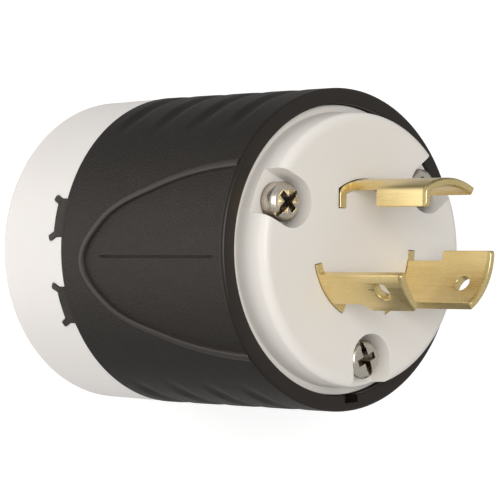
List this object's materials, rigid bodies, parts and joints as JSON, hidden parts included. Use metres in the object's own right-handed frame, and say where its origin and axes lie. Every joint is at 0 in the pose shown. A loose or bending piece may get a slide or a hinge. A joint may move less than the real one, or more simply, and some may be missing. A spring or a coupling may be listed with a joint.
{
  "type": "locking power plug",
  "caption": "Round locking plug with curved brass blades in a white nylon face, a black fluted grip shell and a white rear collar over an inner cord clamp.",
  "frame": {"origin": "centre of the flat rear face, which the plug stands on", "axes": "+Z along the plug's axis, from the cord entry to the blades; -X faces the arched panel seen in the picture"},
  "size_m": [0.056, 0.056, 0.0866],
  "materials": {
    "black_nylon": "fine moulded grain, smooth on the rim",
    "white_nylon": "satin, slightly warm",
    "block_nylon": "satin",
    "clamp_nylon": "satin",
    "brass": "brushed along the blades",
    "brass_screw": "plain",
    "green_screw": "green dyed plating",
    "plated_steel": "nickel plating, slightly warm"
  },
  "bodies": {
    "root": {"grip_shell": "black_nylon", "rear_collar": "white_nylon", "face_plate": "white_nylon", "terminal_block": "block_nylon", "cord_clamp_jaw_front": "clamp_nylon", "cord_clamp_jaw_back": "clamp_nylon", "cord_clamp_screws": "plated_steel", "cord_clamp_nuts": "plated_steel", "assembly_screw_1": "plated_steel", "assembly_screw_2": "plated_steel", "assembly_screw_3": "plated_steel", "retaining_washers": "plated_steel", "blade_line_1": "brass", "blade_line_2": "brass", "blade_ground": "brass", "pressure_plate_line_1": "plated_steel", "pressure_plate_line_2": "plated_steel", "pressure_plate_ground": "plated_steel", "terminal_screw_line_1": "brass_screw", "terminal_screw_line_2": "brass_screw", "terminal_screw_ground": "green_screw"}
  },
  "joints": []
}
